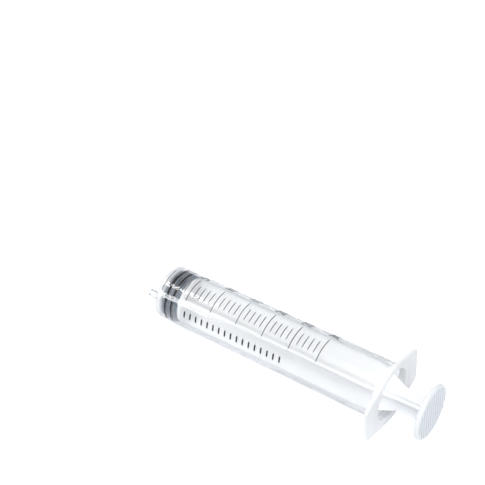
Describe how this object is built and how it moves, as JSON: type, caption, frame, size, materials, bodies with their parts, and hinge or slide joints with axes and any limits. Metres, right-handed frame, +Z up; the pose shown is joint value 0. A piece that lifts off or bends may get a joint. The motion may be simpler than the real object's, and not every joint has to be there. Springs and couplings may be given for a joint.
{
  "type": "oral syringe",
  "caption": "Translucent oral syringe with an eccentric nozzle, printed volume scale, winged finger flange, rubber stopper and cross-vaned plunger rod, plunger fully in.",
  "frame": {"origin": "under the middle of the syringe's length, on the plane that the lowest edge of its flange touches", "axes": "+X along the syringe from the nozzle to the thumb plate, +Y along the finger flange's wings, +Z up, on the side of the printed scale"},
  "size_m": [0.1426, 0.0398, 0.028],
  "materials": {
    "barrel_plastic": "clear to slightly frosted polypropylene moulding, glossy outside",
    "stopper_rubber": "black rubber, wetted with silicone oil, so it has a soft sheen",
    "rod_plastic": "milky white polypropylene moulding with a satin surface",
    "scale_ink": "thin dark grey printed ink"
  },
  "bodies": {
    "barrel": {"barrel": "barrel_plastic"},
    "stopper": {"stopper": "stopper_rubber"},
    "plunger_rod": {"plunger_rod": "rod_plastic"}
  },
  "joints": [
    {"name": "plunger_slide", "type": "slide", "parent": "barrel", "child": "stopper", "axis": [1, 0, 0], "range_m": [0, 0.094]},
    {"name": "rod_spin", "type": "hinge", "parent": "stopper", "child": "plunger_rod", "pos_m": [-0.0515, 0, 0.014], "axis": [1, 0, 0], "continuous": true}
  ]
}
